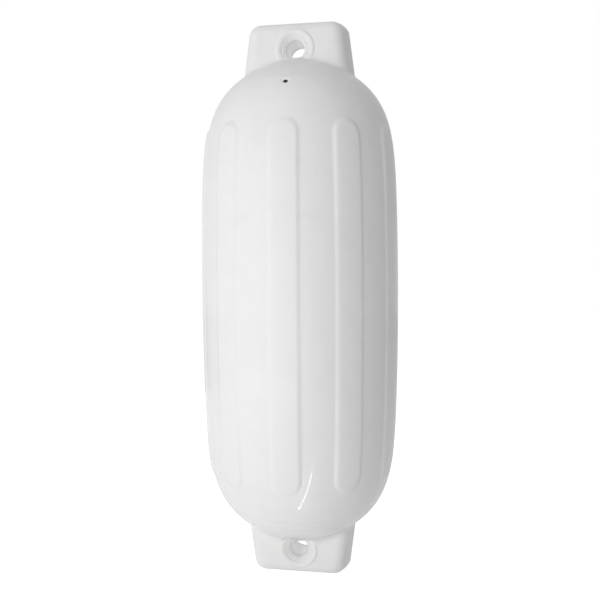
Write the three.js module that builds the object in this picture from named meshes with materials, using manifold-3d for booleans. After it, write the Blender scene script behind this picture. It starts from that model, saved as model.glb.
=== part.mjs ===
// An inflatable boat fender: a white vinyl barrel with long raised pads and domed ends, a rope ear on
// each end with a flared eye through it, and a small needle valve in the upper dome.
// Millimetres. Z is up along the fender, X runs across the ears, and the valve side faces -Y.
// The origin is the middle of the barrel.

import * as THREE from 'three';
import Module from 'manifold-3d';

const wasm = await Module();
wasm.setup();

// Barrel and domes: the radius in the valleys between the pads, and the curve that closes each end
const girthRadius = 136.6;
const crownHeight = 339.3;
const barrelTaper = 0.0807;
const crownPower = 8.26;
const crownRoot = 1.27;

// Raised pads
const padCount = 10;
const padWidth = 39.9;
const padEndDrop = 101.5;
const padRise = 1.7;
const padEndRise = 2.6;
const padFlank = 6;

// Rope ears, widest at the mid-plane where the mould halves meet
const earReach = 41.7;
const earWidth = 136.6;
const earSpread = 0.132;
const earThickness = 70;
const earDraft = 0.315;
const earEndDraft = 0.12;
const earEndLand = 26;
const earCorner = 10;
const earEdge = 8.5;
const partingRound = 6;
const creaseFront = 6;
const creaseSide = 4;

// Eyes through the ears: a rolled collar round each mouth, a stepped funnel down to the neck, and a bore
// that widens towards the back
const eyeInset = 37;
const neckRadius = 12.5;
const boreSpread = 2.8;
const funnelDepth = 6;
const stepRadius = 18;
const stepDepth = 1.4;
const crestRadius = 24.2;
const crestWidth = 1.2;
const collarRadius = 27.6;
const collarRise = 1.1;

// Needle valve in the upper dome
const valveDrop = 52.3;
const valveRadius = 3.2;
const valveLength = 11;
const valveEdge = 0.5;
const needleRadius = 0.9;
const needleDepth = 8;
const valveClearance = 0.3;
const dimpleDepth = 0.9;
const dimpleRadius = 5.2;

// How close to the skin the search along a ray comes
const searchStop = 1e-7;

// Heights and radii that follow from the sizes above
const halfLength = crownHeight + earReach;
const padHalfWidth = padWidth / 2;
const padHalfLength = crownHeight - padEndDrop;
const padPitch = 2 * Math.PI / padCount;
const eyeHeight = halfLength - eyeInset;
const valveHeight = crownHeight - valveDrop;
const earFace = earThickness / 2;
const padStop = padHalfLength + padFlank;
const earFoot = domeHeightAt(earWidth / 2 + earSpread * earReach) - creaseSide;
const earBrow = domeHeightAt(earFace);

// How finely the skin is divided
const roundEyeSteps = 40;
const roundValveSteps = 24;
const padStraightRows = 2;
const padEndRows = 4;
const domeRows = 6;
const creaseRows = 8;
const earRows = 2;
const crownRows = 4;
const capTilts = [0.16, 0.32, 0.46, 0.62, 0.8, 1.1];

function smoothStep(value) {
  const share = THREE.MathUtils.clamp(value, 0, 1);
  return share * share * (3 - 2 * share);
}

// The lesser of two distances, with a hollow of the given size where they meet
function smoothUnion(a, b, blend) {
  const overlap = Math.max(blend - Math.abs(a - b), 0) / blend;
  return Math.min(a, b) - overlap ** 2 * blend / 4;
}

// A corner between two faces, rounded to a radius: the distance to the rounded solid
function roundedCorner(a, b, radius) {
  const outside = Math.hypot(Math.max(a + radius, 0), Math.max(b + radius, 0));
  return Math.min(Math.max(a, b) + radius, 0) + outside - radius;
}

// Distance to the barrel and its domes: its implicit curve divided by the length of its slope
function barrelDistance(rho, height) {
  const share = Math.abs(height) / crownHeight;
  const width = girthRadius * (1 - barrelTaper * share ** 2);
  const across = rho / width;
  const value = across ** crownRoot + share ** crownPower - 1;
  const radialSlope = crownRoot * across ** (crownRoot - 1) / width;
  const narrowing = 2 * girthRadius * barrelTaper * share / crownHeight;
  const axialSlope = crownPower * share ** (crownPower - 1) / crownHeight
    + crownRoot * across ** crownRoot * narrowing / width;
  return value / Math.hypot(radialSlope, axialSlope);
}

// How far the pads stand above the barrel at an angle from -Y and a height
function padRelief(angle, height) {
  const offset = angle - padPitch * Math.round(angle / padPitch);
  const past = Math.max(Math.abs(height) - (padHalfLength - padHalfWidth), 0);
  const edge = Math.hypot(girthRadius * offset, past) - padHalfWidth;
  const rise = padRise + (padEndRise - padRise) * Math.min(Math.abs(height) / padHalfLength, 1) ** 2;
  return rise * smoothStep(0.5 - edge / padFlank);
}

// Distance to an ear: a tapering plate with rounded corners, drafted from the mid-plane to its faces
function earDistance(x, y, height) {
  const sideDraft = earDraft * (Math.hypot(y, partingRound) - partingRound);
  const endDraft = earEndDraft * Math.max(Math.abs(y) - earEndLand / 2, 0);
  const upright = Math.abs(height);
  const halfWidth = earWidth / 2 + earSpread * (halfLength - upright);
  const side = (Math.abs(x) - halfWidth + sideDraft) / Math.hypot(1, earSpread, earDraft);
  const end = upright - halfLength + endDraft;
  const outline = roundedCorner(side, end, earCorner);
  return roundedCorner(outline, Math.abs(y) - earFace, earEdge);
}

// Distance to the whole moulding, in polar coordinates about the fender's axis
function mouldingDistance(rho, angle, height) {
  const barrel = barrelDistance(rho, height) - padRelief(angle, height);
  const ear = earDistance(rho * Math.sin(angle), rho * Math.cos(angle), height);
  const blend = creaseFront + (creaseSide - creaseFront) * Math.sin(angle) ** 2;
  return smoothUnion(barrel, ear, blend);
}

// Length of a ray from the axis to the skin, by halving, for a start height and an upward tilt
function reach(distance, height, tilt) {
  let inner = 0;
  let outer = 2 * halfLength;
  while (outer - inner > searchStop) {
    const middle = (inner + outer) / 2;
    if (distance(middle * Math.cos(tilt), height + middle * Math.sin(tilt)) < 0) {
      inner = middle;
    } else {
      outer = middle;
    }
  }
  return inner;
}

// Height at which a dome has a given radius
function domeHeightAt(rho) {
  return reach((across, up) => barrelDistance(rho, up), 0, Math.PI / 2);
}

function spread(from, to, count) {
  return Array.from({ length: count }, (_, i) => from + (to - from) * i / count);
}

// A closed skin over rings of equal count, each running anticlockwise seen from the last ring's end
function loft(rings) {
  const count = rings[0].length;
  const centre = ring => ring.reduce((sum, p) => sum.add(p), new THREE.Vector3()).divideScalar(count);
  const points = [centre(rings[0]), ...rings.flat(), centre(rings.at(-1))];
  const at = (ring, step) => 1 + ring * count + (step % count);
  const faces = [];
  for (let step = 0; step < count; step++) {
    faces.push(0, at(0, step + 1), at(0, step));
    for (let ring = 0; ring < rings.length - 1; ring++) {
      faces.push(at(ring, step), at(ring, step + 1), at(ring + 1, step + 1));
      faces.push(at(ring, step), at(ring + 1, step + 1), at(ring + 1, step));
    }
    faces.push(at(rings.length - 1, step), at(rings.length - 1, step + 1), points.length - 1);
  }
  const geometry = new THREE.BufferGeometry().setFromPoints(points);
  geometry.setIndex(new THREE.Uint32BufferAttribute(faces, 1));
  return geometry;
}

function toSolid(geometry) {
  return new wasm.Manifold(new wasm.Mesh({
    numProp: 3,
    vertProperties: geometry.attributes.position.array,
    triVerts: geometry.index.array,
  }));
}

function toGeometry(solid) {
  const mesh = solid.getMesh();
  const geometry = new THREE.BufferGeometry();
  geometry.setAttribute('position', new THREE.BufferAttribute(mesh.vertProperties, 3));
  geometry.setIndex(new THREE.BufferAttribute(mesh.triVerts, 1));
  return geometry;
}

// Angles round the barrel, closest together on the flanks of the pads
function skinAngles() {
  const edge = padHalfWidth / girthRadius;
  const flank = padFlank / 2 / girthRadius;
  const half = [0, edge - flank, edge + flank];
  const steps = [...half, padPitch / 2, ...half.slice(1).reverse().map(angle => padPitch - angle)];
  return Array.from({ length: padCount }, (_, pad) => steps.map(angle => pad * padPitch + angle)).flat();
}

// Rows of the upper half: level ones up to the ear's end, then tilted ones that close over it
function upperRows() {
  const padTurn = padHalfLength - padHalfWidth;
  const creaseStop = earBrow + creaseFront;
  const capStart = halfLength - earCorner - earEdge;
  const heights = [
    ...spread(padTurn / (padStraightRows + 1), padTurn, padStraightRows),
    ...spread(padTurn, padStop, padEndRows),
    ...spread(padStop, earFoot, domeRows),
    ...spread(earFoot, creaseStop, creaseRows),
    ...spread(creaseStop, capStart, earRows),
  ];
  const level = heights.map(height => ({ height, tilt: 0 }));
  const tilted = [0, ...capTilts].map(tilt => ({ height: capStart, tilt }));
  return [...level, ...tilted];
}

function mouldingSkin() {
  const angles = skinAngles();
  const upper = upperRows();
  const lower = upper.map(({ height, tilt }) => ({ height: -height, tilt: -tilt })).reverse();
  const rings = [...lower, { height: 0, tilt: 0 }, ...upper].map(({ height, tilt }) => angles.map(angle => {
    const length = reach((rho, up) => mouldingDistance(rho, angle, up), height, tilt);
    const rho = length * Math.cos(tilt);
    return new THREE.Vector3(rho * Math.sin(angle), -rho * Math.cos(angle), height + length * Math.sin(tilt));
  }));
  return toSolid(loft(rings));
}

// A solid turned about a line along Y at a given height, from pairs of place along Y and radius
function crossTurned(stations, height) {
  const turn = 2 * Math.PI / roundEyeSteps;
  return toSolid(loft(stations.map(([y, radius]) => Array.from({ length: roundEyeSteps }, (_, step) =>
    new THREE.Vector3(-radius * Math.cos(step * turn), y, height + radius * Math.sin(step * turn))))));
}

// The barrel and its domes alone, without pads or ears
function barrelSolid() {
  const angles = skinAngles();
  const tops = [
    ...spread(padStop, earFoot, domeRows),
    ...spread(earFoot, earBrow, creaseRows),
    ...spread(earBrow, crownHeight, crownRows),
  ];
  const rows = [...tops.map(height => -height).reverse(), 0, ...tops];
  return toSolid(loft(rows.map(height => {
    const rho = reach(across => barrelDistance(across, height), height, 0);
    return angles.map(angle => new THREE.Vector3(rho * Math.sin(angle), -rho * Math.cos(angle), height));
  })));
}

// A round pad through an ear that stands proud of both faces, for the collars to be cut from
function collarDisc(height) {
  const crest = crestRadius + crestWidth;
  const shoulder = [earFace + collarRise / 2, (crest + 2 * collarRadius) / 3];
  const profile = [[earFace + collarRise, crest], shoulder, [earFace, collarRadius]];
  return crossTurned([...profile.map(([y, radius]) => [-y, radius]), ...profile.toReversed()], height);
}

// The space of an eye: a bore through everything, and a funnel in each face down to the dome
function eyeSpace(height, barrel) {
  const proud = earEdge;
  const slope = (crestRadius - stepRadius) / (collarRise + stepDepth);
  const profile = neck => [
    [earFace + collarRise + proud, crestRadius + slope * proud],
    [earFace - stepDepth, stepRadius],
    [earFace - funnelDepth, neck],
  ];
  const front = profile(neckRadius).map(([y, radius]) => [-y, radius]);
  const back = profile(neckRadius + boreSpread).toReversed();
  const draft = boreSpread / 2 / (earFace - funnelDepth);
  const middle = neckRadius + boreSpread / 2;
  const bore = crossTurned([
    [-earThickness, middle - draft * earThickness],
    [earThickness, middle + draft * earThickness],
  ], height);
  return crossTurned([...front, ...back], height).subtract(barrel).add(bore);
}

// A turned solid on the valve's own axis, from pairs of radius and height
function turned(stations) {
  const turn = 2 * Math.PI / roundValveSteps;
  return loft(stations.map(([radius, height]) => Array.from({ length: roundValveSteps }, (_, step) =>
    new THREE.Vector3(radius * Math.cos(step * turn), radius * Math.sin(step * turn), height))));
}

// The valve's place: a point on the dome's front and the outward direction there
function valvePlace() {
  const rho = reach(across => barrelDistance(across, valveHeight), valveHeight, 0);
  const step = 0.01;
  const outward = barrelDistance(rho + step, valveHeight) - barrelDistance(rho - step, valveHeight);
  const upward = barrelDistance(rho, valveHeight + step) - barrelDistance(rho, valveHeight - step);
  const normal = new THREE.Vector3(0, -outward, upward).normalize();
  const turn = new THREE.Quaternion().setFromUnitVectors(new THREE.Vector3(0, 0, 1), normal);
  return new THREE.Matrix4().compose(new THREE.Vector3(0, -rho, valveHeight), turn, new THREE.Vector3(1, 1, 1));
}

// The dished socket that the valve sits in
function valveSocket(place) {
  const radius = valveRadius + valveClearance;
  const floor = -dimpleDepth - valveLength - valveClearance;
  const dish = turned([
    [radius, floor],
    [radius, -dimpleDepth],
    [dimpleRadius, 0],
    [2 * dimpleRadius - radius, dimpleDepth],
  ]);
  return toSolid(dish.applyMatrix4(place));
}

function valvePlug(place) {
  const top = -dimpleDepth;
  const plug = turned([
    [valveRadius, top - valveLength],
    [valveRadius, top - valveEdge],
    [valveRadius - valveEdge, top],
    [needleRadius, top],
    [needleRadius, top - needleDepth],
  ]);
  return plug.applyMatrix4(place);
}

function vinyl() {
  return new THREE.MeshStandardMaterial({ color: 0xe9e9e8, roughness: 0.42, metalness: 0 });
}

function valveRubber() {
  return new THREE.MeshStandardMaterial({ color: 0x1c1c1d, roughness: 0.6, metalness: 0 });
}

function named(name, geometry, material) {
  const mesh = new THREE.Mesh(geometry, material);
  mesh.name = name;
  return mesh;
}

const place = valvePlace();
const barrel = barrelSolid();
const moulding = mouldingSkin()
  .add(collarDisc(eyeHeight))
  .add(collarDisc(-eyeHeight))
  .subtract(eyeSpace(eyeHeight, barrel))
  .subtract(eyeSpace(-eyeHeight, barrel))
  .subtract(valveSocket(place));

const group = new THREE.Group();
group.add(named('fender_body', toGeometry(moulding), vinyl()));
group.add(named('inflation_valve', valvePlug(place), valveRubber()));

export default group;
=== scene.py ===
# %% [markdown]
# # An inflatable boat fender
#
# A boat fender is a sausage of soft white vinyl that hangs between a hull and a dock and takes the
# knocks. This one looks like a single rotational moulding: a barrel with ten long raised pads, a dome
# at each end, and on each dome a flat ear with a collared eye for the line. A small black needle valve
# sits in a dimple of the upper dome. The photograph shows only the front, so the back is a guess: the
# pads go on evenly round it, and the eyes have collars there too.
#
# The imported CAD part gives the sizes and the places. Here its looks are built round it, in metres and
# in the same frame: Z runs up the fender and the valve faces -Y.

import bpy
import numpy as np
from mathutils import Matrix, Vector


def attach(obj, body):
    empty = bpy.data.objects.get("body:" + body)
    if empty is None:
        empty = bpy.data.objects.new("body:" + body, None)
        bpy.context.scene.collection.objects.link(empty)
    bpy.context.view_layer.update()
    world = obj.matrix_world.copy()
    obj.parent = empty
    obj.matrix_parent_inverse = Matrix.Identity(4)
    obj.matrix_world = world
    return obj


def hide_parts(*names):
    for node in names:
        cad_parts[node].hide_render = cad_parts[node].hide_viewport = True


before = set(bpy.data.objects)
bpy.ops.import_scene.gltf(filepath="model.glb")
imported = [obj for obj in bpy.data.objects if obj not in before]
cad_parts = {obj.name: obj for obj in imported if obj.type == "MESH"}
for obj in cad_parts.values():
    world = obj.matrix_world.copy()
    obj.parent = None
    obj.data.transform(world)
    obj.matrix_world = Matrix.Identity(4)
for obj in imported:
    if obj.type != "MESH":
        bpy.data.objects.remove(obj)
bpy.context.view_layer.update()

# %% [markdown]
# ## The camera
#
# The photograph was taken from about a metre away, a little to the right of the valve and a little
# above the middle. The camera could be placed by eye, but its place, its tilt and its focal length
# were worked out from the outline of the barrel and the ears, so those numbers are written down here.
# The small roll comes with them.

# %% Place the camera
frame_pixels = 600
focal_pixels = 740.918
camera_place = Vector((0.17885, -1.03246, 0.07281))
look = Vector((-0.17149788, 0.9829847, -0.06579937))
lift = Vector((-0.00419466, 0.06605971, 0.99780685))

right = look.cross(lift).normalized()
upright = right.cross(look).normalized()
turn = Matrix((right, upright, -look.normalized())).transposed().to_4x4()
lens = bpy.data.cameras.new("view")
lens.sensor_width = 36
lens.lens = lens.sensor_width * focal_pixels / frame_pixels
camera = bpy.data.objects.new("view", lens)
camera.matrix_world = Matrix.Translation(camera_place) @ turn
bpy.context.collection.objects.link(camera)
bpy.context.scene.camera = camera
bpy.context.scene.view_settings.view_transform = "Standard"
print("focal length:", round(lens.lens, 2), "mm")

# %% [markdown]
# ## Sizes of the moulding
#
# The main sizes are the ones that the CAD part was made from, so the visible skin lies on the CAD skin
# and then adds what a plain solid leaves out. The photograph shows the pads a little lower than the
# solid's and turned by 0.8 degrees, with a fine groove round each, perhaps where an inlay of the mould
# ended. The ears' corners and edges are softer too, and the crease under the lower dome is the softest
# of all. The whole length was never measured: it is a guess from the fender's proportions.

# %% Write down the sizes
girth_radius = 0.1366
crown_height = 0.3393
barrel_taper = 0.0807
crown_power = 8.26
crown_root = 1.27

pad_count = 10
pad_pitch = 2 * np.pi / pad_count
pad_half_width = 0.01995
pad_half_length = crown_height - 0.1015
pad_rise = 0.0014
pad_end_rise = 0.0023
pad_turn = np.radians(0.8)
pad_flank = 0.008
groove_depth = 0.00045
groove_width = 0.0023

half_length = crown_height + 0.0417
ear_width = 0.1366
ear_spread = 0.132
ear_face = 0.035
ear_draft = 0.315
ear_end_draft = 0.12
ear_end_land = 0.026
ear_corner = 0.013
ear_edge = 0.011
parting_round = 0.006
crease_upper = 0.008
crease_lower = 0.018
crease_side = 0.004

eye_height = half_length - 0.037
neck_radius = 0.0125
upper_bore_spread = 0.0034
lower_bore_spread = 0.0065
crest_radius = 0.0243

valve_height = crown_height - 0.0523
print("length:", 2 * half_length, "m, eyes at", eye_height, "m")


# %% [markdown]
# ## The shape as a distance
#
# The barrel, the pads and the ears run into each other with soft creases. Joining separate meshes
# with a Boolean would leave hard seams, so the whole moulding is written as one function instead: the
# distance from any point to the skin, less than nothing inside. Two shapes are joined by taking the
# lesser of their distances, with a little taken away where they are nearly equal, which fills the
# crease.

# %% Joining and rounding
def smooth_step(value):
    """0 below 0, 1 above 1, and the S-curve 3v^2 - 2v^3 between."""
    share = np.clip(value, 0, 1)
    return share * share * (3 - 2 * share)


def smooth_union(a, b, blend):
    """The lesser of two distances, less blend/4 times the square of how far they overlap."""
    overlap = np.maximum(blend - np.abs(a - b), 0) / blend
    return np.minimum(a, b) - overlap**2 * blend / 4


def rounded_corner(a, b, radius):
    """Distance to the solid that is inside both faces, with the corner between them rounded."""
    outside = np.hypot(np.maximum(a + radius, 0), np.maximum(b + radius, 0))
    return np.minimum(np.maximum(a, b) + radius, 0) + outside - radius


# %% Barrel, pads and ears
def barrel_distance(rho, z):
    """(rho/width)^1.27 + (z/height)^8.26 - 1, divided by the length of its slope.

    The width shrinks with the square of the height, which gives the slight taper of the barrel."""
    share = np.abs(z) / crown_height
    width = girth_radius * (1 - barrel_taper * share**2)
    across = rho / width
    value = across**crown_root + share**crown_power - 1
    radial = crown_root * across ** (crown_root - 1) / width
    narrowing = 2 * girth_radius * barrel_taper * share / crown_height
    axial = crown_power * share ** (crown_power - 1) / crown_height
    axial = axial + crown_root * across**crown_root * narrowing / width
    return value / np.hypot(radial, axial)


def pad_place(angle, z):
    """Distance along the skin from a pad's outline, less than nothing inside the pad."""
    offset = angle - pad_turn - pad_pitch * np.round((angle - pad_turn) / pad_pitch)
    past = np.maximum(np.abs(z) - (pad_half_length - pad_half_width), 0)
    return np.hypot(girth_radius * offset, past) - pad_half_width


def pad_relief(angle, z):
    """How far a pad stands proud: its rise times an S-curve across its flank, less a groove.

    The groove is a bell curve, e^(-(d/width)^2), of the distance d from the pad's outline."""
    edge = pad_place(angle, z)
    rise = pad_rise + (pad_end_rise - pad_rise) * np.minimum(np.abs(z) / pad_half_length, 1) ** 2
    groove = groove_depth * np.exp(-((edge / groove_width) ** 2))
    return rise * smooth_step(0.5 - edge / pad_flank) - groove


def ear_distance(x, y, z):
    """A plate with rounded corners that widens towards the dome and towards its mid-plane."""
    side_draft = ear_draft * (np.hypot(y, parting_round) - parting_round)
    end_draft = ear_end_draft * np.maximum(np.abs(y) - ear_end_land / 2, 0)
    half_width = ear_width / 2 + ear_spread * (half_length - np.abs(z))
    side = (np.abs(x) - half_width + side_draft) / np.sqrt(1 + ear_spread**2 + ear_draft**2)
    end = np.abs(z) - half_length + end_draft
    outline = rounded_corner(side, end, ear_corner)
    return rounded_corner(outline, np.abs(y) - ear_face, ear_edge)


def crease_blend(angle, z):
    """Width of the crease between a dome and its ear: wider in front than at the side, widest below."""
    front = np.where(z < 0, crease_lower, crease_upper)
    return front + (crease_side - front) * np.sin(angle) ** 2


def moulding_distance(rho, angle, z):
    """The barrel with its pads joined to the ears."""
    barrel = barrel_distance(rho, z) - pad_relief(angle, z)
    ear = ear_distance(rho * np.sin(angle), rho * np.cos(angle), z)
    return smooth_union(barrel, ear, crease_blend(angle, z))


halvings = 32


def halve(distance, shape, far):
    """How far each ray goes before it leaves the solid, found by halving the search again and again."""
    inner, outer = np.zeros(shape), np.full(shape, far)
    for _ in range(halvings):
        middle = (inner + outer) / 2
        inside = distance(middle) < 0
        inner, outer = np.where(inside, middle, inner), np.where(inside, outer, middle)
    return inner


print("skin at mid height:", round(float(halve(lambda r: moulding_distance(r, 0.3, 0.0), (), 1)), 5))


# %% [markdown]
# ## The grid of the skin
#
# The skin is a grid: columns go round the axis and rows go up it. Each row sends level rays out from
# the axis, and near the ends the rays tilt until they close over the ear. A grid with the same step
# everywhere would need far more faces to show the flank of a pad, so the columns crowd at the pads'
# flanks, and the rows crowd at the pads' ends, at the creases and on the ears.

# %% Columns and rows
columns = 300
crowding_gain, crowding_width = 2.2, 0.035
angle_samples = np.linspace(0, pad_pitch / 2, 400)
flank_angle = pad_half_width / girth_radius
crowding = 1 + crowding_gain * np.exp(-(((angle_samples - flank_angle) / crowding_width) ** 2))
crowding_sum = np.concatenate([[0], np.cumsum((crowding[1:] + crowding[:-1]) / 2)])
half_steps = columns // pad_count // 2
even_shares = np.linspace(0, crowding_sum[-1], half_steps + 1)
half_angles = np.interp(even_shares, crowding_sum, angle_samples)
pad_angles = np.concatenate([half_angles, pad_pitch - half_angles[-2:0:-1]])
angles = (pad_angles + pad_pitch * np.arange(pad_count)[:, None]).ravel()

cap_start = half_length - ear_corner - ear_edge
eye_block_low = 0.313
level_stops = [
    (0.198, 11), (0.246, 20), (0.272, 6), (0.302, 15), (eye_block_low, 8), (0.343, 22), (cap_start, 5)]
eye_tilt = 0.44
tilt_stops = [(eye_tilt, 18), (0.74, 10), (1.5, 8)]


def stepped(start, stops):
    """Even steps from each stop to the next."""
    ends = [start] + [stop for stop, _ in stops]
    parts = [np.linspace(a, b, n + 1)[1:] for a, b, (_, n) in zip(ends, ends[1:], stops)]
    return np.concatenate(parts)


levels = stepped(0, level_stops)
tilts = stepped(0, tilt_stops)
upper = np.concatenate([
    np.stack([levels, 0 * levels], 1),
    np.stack([0 * tilts + cap_start, tilts], 1),
])
rays = np.concatenate([-upper[::-1], [[0, 0]], upper])
rows = len(rays)
print("grid:", rows, "rows of", columns)


# %% Points of the grid
def skin_points(row_rays, column_angles):
    """Each point lies on the ray that starts on the axis at its row's height, with the row's tilt."""
    start, tilt = row_rays[:, 0][:, None], row_rays[:, 1][:, None]
    angle = column_angles[None, :]

    def at(length):
        return moulding_distance(length * np.cos(tilt), angle, start + length * np.sin(tilt))

    length = halve(at, (len(row_rays), len(column_angles)), 2 * half_length)
    rho = length * np.cos(tilt)
    return np.stack([rho * np.sin(angle), -rho * np.cos(angle), start + length * np.sin(tilt)], -1)


grid = skin_points(rays, angles)
print("grid spans:", np.round(grid.reshape(-1, 3).max(0), 4))


# %% [markdown]
# ## The eyes
#
# The line goes through a round hole in each ear. A rolled collar runs round its mouth, then a stepped
# funnel leads down to a narrow neck. Behind the neck the bore is a guess: it widens slowly towards the
# back, which gives the see-through part of each eye its shape in the photograph. Cutting the hole with
# a Boolean would break the even grid, so the grid leaves out a block of cells on the front and the back
# of the ear, and a tunnel of rings takes its place: from the block's edge in to the collar, down the
# funnel, through the bore and out the same way behind.

# %% The collar's profile
collar_mm = np.array([
    [12.5, -6.8], [12.8, -6.0], [13.1, -5.4], [13.5, -4.95], [13.9, -4.8], [14.3, -4.65], [14.6, -4.1],
    [15.0, -3.5], [15.4, -3.35], [15.8, -3.2], [16.1, -2.75], [16.5, -2.15], [16.9, -1.9], [17.3, -2.0],
    [17.7, -2.3], [18.1, -2.1], [18.5, -1.5], [19.0, -0.85], [19.7, -0.2], [20.6, 0.45],
    [21.6, 0.92], [22.6, 1.25], [23.5, 1.45], [24.3, 1.5], [25.0, 1.4], [25.6, 1.12], [26.2, 0.66],
    [26.8, 0.24], [27.4, 0.04], [28.0, 0.0], [28.7, 0.0]])
collar_radii, collar_heights = collar_mm[::-1].T / 1000
print("collar:", collar_heights.max(), "m proud at radius", collar_radii[collar_heights.argmax()])


sill_height, sill_radius, sill_width = 0.0014, 0.0135, 0.0028
near_blend, near_radius, near_fade = 0.002, 0.022, 0.006


def face_depth(x, z, collar):
    """Distance of the skin from the mid-plane: the ear's face, moved out by the collar, and the dome.

    Where the bore meets the dome's crown, a low sill runs along its edge."""
    radius = np.hypot(x, np.abs(z) - eye_height)
    near = smooth_step((radius - near_radius) / near_fade)
    sill = sill_height * np.exp(-(((radius - sill_radius) / sill_width) ** 2))

    def at(y):
        rho, angle = np.hypot(x, y), np.arctan2(x, y)
        blend = near_blend + (crease_blend(angle, z) - near_blend) * near
        return smooth_union(barrel_distance(rho, z) - sill, ear_distance(x, y - collar, z), blend)

    return halve(at, x.shape, 0.1)


# %% Rings of a tunnel
bore_steps = 12
approach = np.array([0.3, 0.55, 0.75, 0.9])


def mouth_rings(edge, side, spread):
    """Rings from a block's edge in to the neck of the front (side -1) or the back (side 1).

    A ring outside the collar lies between the block's edge and the first circle. The circles shrink
    along the collar's profile, and those inside the crest end at the neck, which is wider at the back."""
    eye = np.array([0, np.sign(edge[0, 2]) * eye_height])
    bearing = np.arctan2(edge[:, 2] - eye[1], edge[:, 0])
    unit = np.stack([np.cos(bearing), np.sin(bearing)], -1)
    squeeze = (crest_radius - neck_radius - spread) / (crest_radius - neck_radius)
    squeezed = crest_radius - squeeze * (crest_radius - collar_radii)
    radii = np.where(collar_radii < crest_radius, squeezed, collar_radii)
    first = eye + radii[0] * unit
    outside = edge[:, ::2] + approach[:, None, None] * (first - edge[:, ::2])
    spots = np.concatenate([outside, eye + radii[:, None, None] * unit])
    collar = np.concatenate([0 * approach, collar_heights])[:, None]
    depth = face_depth(spots[..., 0], spots[..., 1], collar)
    return np.stack([spots[..., 0], side * depth, spots[..., 1]], -1)


def tunnel_rings(edge):
    """The front mouth's rings, straight lines through the bore, and the back mouth's rings."""
    spread = upper_bore_spread if edge[0, 2] > 0 else lower_bore_spread
    front = mouth_rings(edge, -1, 0)
    back = mouth_rings(edge, 1, spread)[::-1]
    share = np.linspace(0, 1, bore_steps + 1)[1:-1, None, None]
    return np.concatenate([front, front[-1] + share * (back[0] - front[-1]), back])


# %% [markdown]
# ## The valve's dimple
#
# The valve sits at the bottom of a shallow dimple. It is made like the eyes: a block of cells is left
# out, and rings on the dome's tangent plane take its place, down the dimple's slope and the socket's
# wall to a closed floor.

# %% Rings of the dimple
valve_radius = 0.0028
valve_length = 0.011
dimple_radius = 0.0052
dimple_depth = 0.0009

valve_rho = float(halve(lambda rho: barrel_distance(rho, valve_height), (), 1))
slope_step = 1e-5
inside, outside = (barrel_distance(valve_rho + step, valve_height) for step in (-slope_step, slope_step))
below, above = (barrel_distance(valve_rho, valve_height + step) for step in (-slope_step, slope_step))
normal = np.array([0, inside - outside, above - below])
normal /= np.linalg.norm(normal)
valve_place = np.array([0, -valve_rho, valve_height])
along = np.array([1.0, 0, 0])
across = np.cross(normal, along)
print("valve at", np.round(valve_place, 4), "facing", np.round(normal, 3))


def on_skin(flat):
    """Drops points of the tangent plane on the skin, along the valve's own axis."""
    base = valve_place + flat[..., :1] * along + flat[..., 1:] * across - 0.02 * normal

    def at(length):
        point = base + length[..., None] * normal
        return moulding_distance(
            np.hypot(point[..., 0], point[..., 1]), np.arctan2(point[..., 0], -point[..., 1]), point[..., 2])

    return base + halve(at, flat.shape[:-1], 0.03)[..., None] * normal


def dimple_rings(edge):
    """Rings from the block's edge to the dimple, down its slope and the socket to the floor."""
    flat_edge = np.stack([(edge - valve_place) @ along, (edge - valve_place) @ across], -1)
    bearing = np.arctan2(flat_edge[:, 1], flat_edge[:, 0])
    unit = np.stack([np.cos(bearing), np.sin(bearing)], -1)
    start = 1.25 * dimple_radius * unit
    outside = flat_edge + np.array([0.35, 0.7])[:, None, None] * (start - flat_edge)
    radii = np.array([6.5, 6, 5.5, 5.1, 4.6, 4.1, 3.6, 3.2, 3.1, 3.1, 3.1, 1.8]) / 1000
    fall = np.array([0, 0.02, 0.1, 0.24, 0.47, 0.7, 0.84, 0.92, 1.05, 6, 12.2, 12.2]) / 1000
    rings = on_skin(np.concatenate([outside, radii[:, None, None] * unit]))
    rings[2:] -= fall[:, None, None] * normal
    return rings


# %% [markdown]
# ## One closed skin
#
# The grid, the two tunnels and the dimple are put together by their index numbers, so every edge is
# shared by two faces and nothing has to be merged. Points of the blocks that were left out drop away
# when the faces are numbered again.

# %% Blocks that are left out
def column_near(angle):
    """First column at or past an angle."""
    return int(np.searchsorted(angles, angle))


def row_near(z, tilt=0.0):
    """The row whose ray starts closest to a height, with a tilt."""
    return int(np.argmin(np.abs(rays[:, 0] - z) + np.abs(rays[:, 1] - tilt)))


def loop(row_low, row_high, side):
    """Grid places round a block, anticlockwise seen from the front."""
    across_steps, up_steps = np.arange(-side, side), np.arange(row_low, row_high)
    row = np.concatenate([
        0 * across_steps + row_low, up_steps, 0 * across_steps + row_high, up_steps[::-1] + 1])
    column = np.concatenate([across_steps, 0 * up_steps + side, -across_steps, 0 * up_steps - side])
    return row, column


def ring_faces(first, second):
    """Quads between two rings of point numbers."""
    return np.stack([first, np.roll(first, -1), np.roll(second, -1), second], -1)


eye_block_angle, valve_block_angle = np.radians(39.5), np.radians(6.0)
valve_block_low, valve_block_high = 0.276, 0.298

eye_side = column_near(eye_block_angle)
eye_rows = (row_near(eye_block_low), row_near(cap_start, eye_tilt))
lower_eye_rows = (rows - 1 - eye_rows[1], rows - 1 - eye_rows[0])
valve_side = column_near(valve_block_angle)
valve_rows = (row_near(valve_block_low), row_near(valve_block_high))

kept = np.ones((rows - 1, columns), bool)
for low, high in (eye_rows, lower_eye_rows):
    kept[low:high, np.arange(-eye_side, eye_side)] = False
    kept[low:high, np.arange(-eye_side, eye_side) + columns // 2] = False
kept[valve_rows[0]:valve_rows[1], np.arange(-valve_side, valve_side)] = False
print("cells left out:", int((~kept).sum()))

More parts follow.
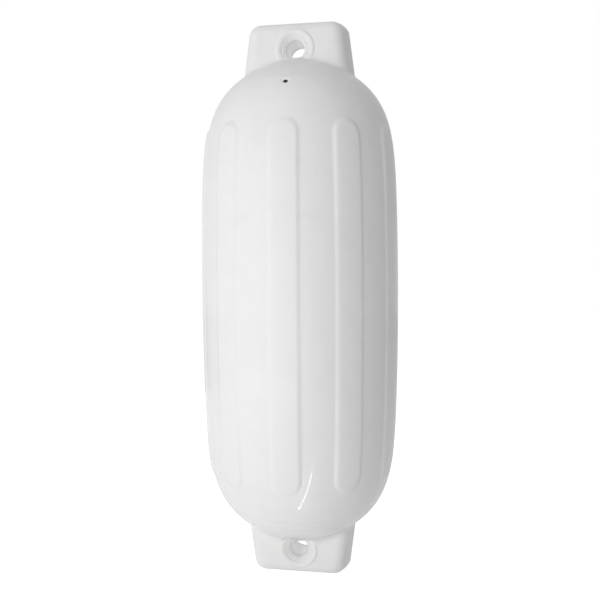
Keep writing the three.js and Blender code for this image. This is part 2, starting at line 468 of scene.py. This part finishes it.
# %% Number the faces
row_index, column_index = np.nonzero(kept)
next_column = (column_index + 1) % columns
quads = [np.stack([
    row_index * columns + column_index,
    row_index * columns + next_column,
    (row_index + 1) * columns + next_column,
    (row_index + 1) * columns + column_index,
], -1)]
points = [grid.reshape(-1, 3)]
count = rows * columns

for low, high in (eye_rows, lower_eye_rows):
    row, column = loop(low, high, eye_side)
    front_edge = row * columns + column % columns
    back_edge = row * columns + (columns // 2 - column) % columns
    rings = tunnel_rings(grid[row, column % columns])
    numbers = count + np.arange(rings.shape[0] * rings.shape[1]).reshape(rings.shape[:2])
    numbers = np.concatenate([[front_edge], numbers, [back_edge]])
    quads += [ring_faces(a, b) for a, b in zip(numbers, numbers[1:])]
    points.append(rings.reshape(-1, 3))
    count += rings.shape[0] * rings.shape[1]

# %% Close the dimple and the two ends
row, column = loop(*valve_rows, valve_side)
rings = dimple_rings(grid[row, column % columns])
numbers = count + np.arange(rings.shape[0] * rings.shape[1]).reshape(rings.shape[:2])
dimple_edge = row * columns + column % columns
quads += [ring_faces(a, b) for a, b in zip(np.concatenate([[dimple_edge], numbers]), numbers)]
points.append(rings.reshape(-1, 3))
count += rings.shape[0] * rings.shape[1]

points.append(np.array([rings[-1].mean(0), [0, 0, -half_length], [0, 0, half_length]]))
bottom, top = np.arange(columns), (rows - 1) * columns + np.arange(columns)
triangles = np.concatenate([
    np.stack([numbers[-1], np.roll(numbers[-1], -1), np.full(len(row), count)], -1),
    np.stack([np.roll(bottom, -1), bottom, np.full(columns, count + 1)], -1),
    np.stack([top, np.roll(top, -1), np.full(columns, count + 2)], -1),
])
quads = np.concatenate(quads)
points = np.concatenate(points)
print("quads:", len(quads), "triangles:", len(triangles), "in all", 2 * len(quads) + len(triangles))


# %% Put a mesh together
def make_piece(name, all_points, all_quads, all_triangles):
    """A smooth-shaded mesh object at the origin from arrays of points, quads and triangles."""
    corners = np.concatenate([all_quads.ravel(), all_triangles.ravel()])
    used, numbered = np.unique(corners, return_inverse=True)
    mesh = bpy.data.meshes.new(name)
    mesh.vertices.add(len(used))
    mesh.vertices.foreach_set("co", all_points[used].astype(np.float32).ravel())
    sizes = np.concatenate([np.full(len(all_quads), 4), np.full(len(all_triangles), 3)])
    mesh.loops.add(len(numbered))
    mesh.loops.foreach_set("vertex_index", numbered.astype(np.int32))
    mesh.polygons.add(len(sizes))
    mesh.polygons.foreach_set("loop_start", (np.cumsum(sizes) - sizes).astype(np.int32))
    mesh.polygons.foreach_set("use_smooth", np.ones(len(sizes), bool))
    mesh.update(calc_edges=True)
    mesh.validate()
    piece = bpy.data.objects.new(name, mesh)
    bpy.context.collection.objects.link(piece)
    return piece


skin = make_piece("fender_skin", points, quads, triangles)
face_areas = np.empty(len(skin.data.polygons), np.float32)
skin.data.polygons.foreach_get("area", face_areas)
print("skin area:", round(float(face_areas.sum()), 4), "m2")

# %% [markdown]
# ## The valve
#
# The valve is a plug of black rubber that a ball-pump needle goes into. It looks round, so it is a
# profile turned about the valve's axis: a rounded edge, a flat face and a small funnel that leads into
# the needle's blind channel. Only its face can be seen in the photograph.

# %% Turn the valve's profile
edge_turn = np.linspace(0, np.pi / 2, 6)
edge_radius = 0.0005
funnel = np.array([[1.55, 0.0], [1.3, 0.04], [1.1, 0.14], [0.95, 0.3], [0.9, 0.5], [0.9, 8.0]]) / 1000
profile = np.concatenate([
    [[valve_radius, valve_length]],
    np.stack([
        valve_radius - edge_radius * (1 - np.cos(edge_turn)), edge_radius * (1 - np.sin(edge_turn))], -1),
    [[0.0022, -0.0001]],
    funnel,
])
valve_steps = 64
spin = 2 * np.pi * np.arange(valve_steps) / valve_steps
spokes = np.cos(spin)[:, None] * along + np.sin(spin)[:, None] * across
valve_top = valve_place - dimple_depth * normal
reach, drop = profile[:, 0, None, None], profile[:, 1, None, None]
valve_points = (valve_top + reach * spokes - drop * normal).reshape(-1, 3)
valve_points = np.concatenate([
    valve_points, [valve_top - valve_length * normal, valve_top - profile[-1, 1] * normal]])
turns = np.arange(len(profile) * valve_steps).reshape(len(profile), valve_steps)
valve_quads = np.concatenate([ring_faces(a, b) for a, b in zip(turns, turns[1:])])
valve_ends = np.concatenate([
    np.stack([np.roll(turns[0], -1), turns[0], np.full(valve_steps, turns.size)], -1),
    np.stack([turns[-1], np.roll(turns[-1], -1), np.full(valve_steps, turns.size + 1)], -1),
])
valve = make_piece("valve_plug", valve_points, valve_quads, valve_ends)
print("valve faces:", len(valve.data.polygons))


# %% [markdown]
# ## Shader maths
#
# A material's pattern is a sum of masks and noises. Wiring a Math node for each step by hand hides the
# formula, so a small class wraps a socket and lets Python's own signs add the nodes.

# %% A socket that can be used in sums
class Value:
    """A socket of a node tree. A sum or product with it adds a Math node and gives that node's socket."""

    def __init__(self, tree, socket=None):
        self.tree, self.socket = tree, socket

    def node(self, kind, settings=(), inputs=(), output=0):
        """Adds a node: its settings first, then the numbers or links of its sockets."""
        made = self.tree.nodes.new("ShaderNode" + kind)
        for name, setting in dict(settings).items():
            if name == "stops":
                while len(made.color_ramp.elements) < len(setting):
                    made.color_ramp.elements.new(1)
                for element, (place, tone) in zip(made.color_ramp.elements, setting):
                    element.position, element.color = place, (tone, tone, tone, 1)
            else:
                setattr(made, name, setting)
        for name, value in dict(inputs).items():
            if isinstance(value, Value):
                self.tree.links.new(value.socket, made.inputs[name])
            else:
                made.inputs[name].default_value = value
        return Value(self.tree, made.outputs[output])

    def maths(self, operation, *values):
        return self.node("Math", {"operation": operation}, dict(enumerate(values)))

    def __add__(self, other):
        return self.maths("ADD", self, other)

    def __sub__(self, other):
        return self.maths("SUBTRACT", self, other)

    def __rsub__(self, other):
        return self.maths("SUBTRACT", other, self)

    def __mul__(self, other):
        return self.maths("MULTIPLY", self, other)

    def __truediv__(self, other):
        return self.maths("DIVIDE", self, other)

    def __pow__(self, other):
        return self.maths("POWER", self, other)

    __radd__ = __add__
    __rmul__ = __mul__

    def between(self, low, high):
        """0 below low, 1 above high and an S-curve between."""
        return self.node(
            "MapRange", {"interpolation_type": "SMOOTHSTEP"}, {"Value": self, 1: low, 2: high})

    def bell(self, middle, width):
        """e^(-((value - middle)/width)^2): 1 at the middle and fading to 0 on both sides."""
        return self.maths("EXPONENT", ((self - middle) / width) ** 2 * -1)

    def noise(self, place, scale, detail=2.0, rough=0.5):
        """Noise about the size of 1/scale metres, from 0 to 1."""
        return self.node(
            "TexNoise", {}, {"Vector": place, "Scale": scale, "Detail": detail, "Roughness": rough})

    def mixed(self, first, second):
        """The first colour where this value is 0, and the second where it is 1."""
        return self.node("Mix", {"data_type": "RGBA"}, {0: self, 6: first, 7: second}, 2)


def new_material(name):
    """A material's empty tree, its surface shader and its object coordinates."""
    material = bpy.data.materials.new(name)
    material.use_nodes = True
    tree = material.node_tree
    shader = tree.nodes["Principled BSDF"]
    start = Value(tree)
    place = start.node("TexCoord", output="Object")
    return material, shader, start, place


def feed(shader, name, value):
    """Links a value to one of the shader's sockets."""
    value.tree.links.new(value.socket, shader.inputs[name])


# %% [markdown]
# ## White vinyl
#
# Rotationally moulded vinyl is smooth but seldom a mirror: its skin has a fine orange peel and a slow
# waviness. Its white is slightly uneven too, with faint greyer smudges. Low rings run round the domes,
# perhaps where the vinyl creased as it shrank. The colour, the roughness and a low bump carry all this
# from object coordinates, so that it stays put on the fender. The bores look a little lighter than
# their shade alone would make them, as if some light came through thin walls, and a faint glow inside
# them stands for it. A scattering shader would be truer, but slower and grainier for so small a part
# of the picture.

# %% Make the white vinyl
vinyl, shader, start, place = new_material("white_vinyl")
split = start.node("SeparateXYZ", {}, {0: place}).socket.node.outputs
sideways, depth, height = (Value(start.tree, split[axis]) for axis in "XYZ")
upright, inward = height.maths("ABSOLUTE", height), depth.maths("ABSOLUTE", depth)
cloud = start.noise(place, 9, 3)
mottle = start.noise(place, 45, 2)
smudge = start.noise(place, 28, 4, 0.6).between(0.52, 0.72) * height.between(0.02, 0.12)
grey = 0.15 * cloud.between(0.45, 0.75) + 0.15 * mottle.between(0.4, 0.8) + 0.35 * smudge
clean_white, smudged_white = (0.86, 0.86, 0.855, 1), (0.795, 0.796, 0.795, 1)
feed(shader, "Base Color", grey.mixed(clean_white, smudged_white))

# Painted light: a faint emission inside the bores stands in for light that comes through their thin walls.
from_eye = ((upright - eye_height) ** 2 + sideways ** 2) ** 0.5
glow = 0.1 * (1 - from_eye.between(0.015, 0.022)) * (1 - inward.between(0.016, 0.030))
feed(shader, "Emission Color", glow.mixed((0, 0, 0, 1), (1, 1, 1, 1)))
shader.inputs["Emission Strength"].default_value = 1.0

sheen_wander = start.noise(place, 14, 2)
feed(shader, "Roughness", 0.36 + 0.1 * height.between(-0.25, 0.2) + 0.08 * (sheen_wander - 0.5))
feed(shader, "Coat Weight", 0.75 - 0.6 * height.between(-0.2, 0.25))
shader.inputs["Coat Roughness"].default_value = 0.04
shader.inputs["IOR"].default_value = 1.5

peel = start.noise(place, 900, 2)
wave = start.noise(place, 30, 1)
drift = height + 0.008 * (start.noise(place, 12, 1) - 0.5)
rings = 0.0003 * drift.bell(0.295, 0.0022) + 0.0005 * drift.bell(0.314, 0.003)
rings = rings + 0.0005 * drift.bell(-0.277, 0.0022) + 0.0006 * drift.bell(-0.291, 0.0025)
bump = start.node("Bump", {}, {
    "Strength": 1.0, "Distance": 1.0, "Height": 0.00001 * peel + 0.00006 * wave + rings})
feed(shader, "Normal", bump)
skin.data.materials.append(vinyl)

# %% [markdown]
# ## Valve rubber
#
# The plug is matt black rubber with a dusty bloom, which a raised roughness and a greyer noise give.

# %% Make the rubber
rubber, shader, start, place = new_material("valve_rubber")
bloom = start.noise(place, 700, 3)
black, dusty_black = (0.010, 0.010, 0.011, 1), (0.028, 0.028, 0.029, 1)
feed(shader, "Base Color", bloom.between(0.4, 0.75).mixed(black, dusty_black))
feed(shader, "Roughness", 0.5 + 0.2 * bloom)
grain = start.noise(place, 2500, 2)
bump = start.node("Bump", {}, {"Strength": 1.0, "Distance": 1.0, "Height": 0.00002 * grain})
feed(shader, "Normal", bump)
valve.data.materials.append(rubber)

# %% [markdown]
# ## Fixing the pieces to the part
#
# The skin and the valve stand for the two CAD nodes, which stay in the physics model but aren't shown.

# %% Replace the CAD nodes
for piece, node, slot in (
        (skin, "fender_body", "white_vinyl"),
        (valve, "inflation_valve", "valve_rubber")):
    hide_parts(node)
    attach(piece, "root")
    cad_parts[node].data.materials.clear()
    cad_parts[node].data.materials.append(piece.data.materials[0])

# %% [markdown]
# ## Floor, background and light
#
# The photograph is a studio cut-out on pure white. The floor is a pale sheet that still takes the
# fender's shadow; for the camera it glows up to white. The sky does the same, and lights the fender
# evenly from all round for every other ray. One broad soft lamp stands to the left of the camera and a
# weaker one hangs overhead, a third fills the left-hand edge and a fourth lights the back, which the
# photograph doesn't show. A narrow strip near the lower dome gives no light to the skin's own colour
# and is seen only in its gloss: it makes the one bright streak there. Its place was found by following
# mirror rays from points along that streak. The real lamps aren't known: these were fitted to the
# tones of the fender.

# %% The floor
floor_size = 4.0
floor_gap = 0.0005
corners = np.array([[-1, -1], [1, -1], [1, 1], [-1, 1]]) * floor_size
floor_points = np.column_stack([corners, np.full(4, -half_length - floor_gap)])
floor = make_piece("floor", floor_points, np.array([[0, 1, 2, 3]]), np.zeros((0, 3), int))
pale, shader, start, _ = new_material("pale_floor")
shader.inputs["Base Color"].default_value = (0.8, 0.8, 0.8, 1)
shader.inputs["Roughness"].default_value = 0.9
shader.inputs["Specular IOR Level"].default_value = 0.0
seen, mirrored = (start.node("LightPath", output=ray) for ray in ("Is Camera Ray", "Is Glossy Ray"))
glow = start.node("Emission", {}, {"Strength": 0.09 + 0.71 * seen + 0.27 * mirrored})
both = start.node("AddShader", {}, {0: Value(start.tree, shader.outputs[0]), 1: glow})
start.tree.links.new(both.socket, start.tree.nodes["Material Output"].inputs["Surface"])
floor.data.materials.append(pale)

# %% The sky
sky = bpy.data.worlds.new("sky")
bpy.context.scene.world = sky
sky.use_nodes = True
start = Value(sky.node_tree)
seen, mirrored = (start.node("LightPath", output=ray) for ray in ("Is Camera Ray", "Is Glossy Ray"))
sky_level, mirrored_level = 0.305, 0.85
strength = sky_level + (1 - sky_level) * seen + (mirrored_level - sky_level) * mirrored
tree = sky.node_tree
tree.links.new(strength.socket, tree.nodes["Background"].inputs["Strength"])
tree.nodes["Background"].inputs["Color"].default_value = (1, 1, 1, 1)


# %% The lamps
def area_lamp(name, place, aim, size, energy):
    """A flat rectangular lamp at a place, facing the point that it is aimed at."""
    data = bpy.data.lights.new(name, "AREA")
    data.shape = "RECTANGLE"
    data.size, data.size_y = size
    data.energy = energy
    lamp = bpy.data.objects.new(name, data)
    facing = (Vector(place) - Vector(aim)).to_track_quat("Z", "Y").to_matrix().to_4x4()
    lamp.matrix_world = Matrix.Translation(place) @ facing
    bpy.context.collection.objects.link(lamp)
    return lamp


key_angle, key_distance = np.radians(-19), 1.6
key_place = (key_distance * np.sin(key_angle), -key_distance * np.cos(key_angle), 0.02)
key = area_lamp("key_lamp", key_place, (0, 0, -0.05), (1.9, 0.8), 13.2)
key.visible_glossy = False
print("key lamp at", np.round(key_place, 2))

top = area_lamp("top_lamp", (-0.3, -0.5, 1.7), (0, 0, 0), (1.2, 1.2), 5.0)
top.visible_glossy = False

fill = area_lamp("fill_lamp", (-1.25, -0.15, 0), (0, 0, 0), (0.8, 0.8), 1.6)
fill.visible_glossy = False

back = area_lamp("back_lamp", (-0.7, 1.1, 0.2), (0, 0, 0), (0.8, 0.8), 4.0)
back.visible_glossy = back.visible_camera = False

strip_ends = np.array([[0.1234, -0.3449, -0.3265], [0.0163, -0.1779, -0.3701]])
strip_aim = np.array([0.024, -0.122, -0.232])
strip = area_lamp("strip_lamp", strip_ends.mean(0), strip_aim, (0.007, 0.2), 0.036)
along_strip = Vector(strip_ends[0] - strip_ends[1]).normalized()
toward = (strip.location - Vector(strip_aim)).normalized()
broad = along_strip.cross(toward).normalized()
strip_axes = Matrix((broad, along_strip, broad.cross(along_strip))).transposed().to_4x4()
strip.matrix_world = Matrix.Translation(strip_ends.mean(0)) @ strip_axes
strip.visible_camera = strip.visible_diffuse = False
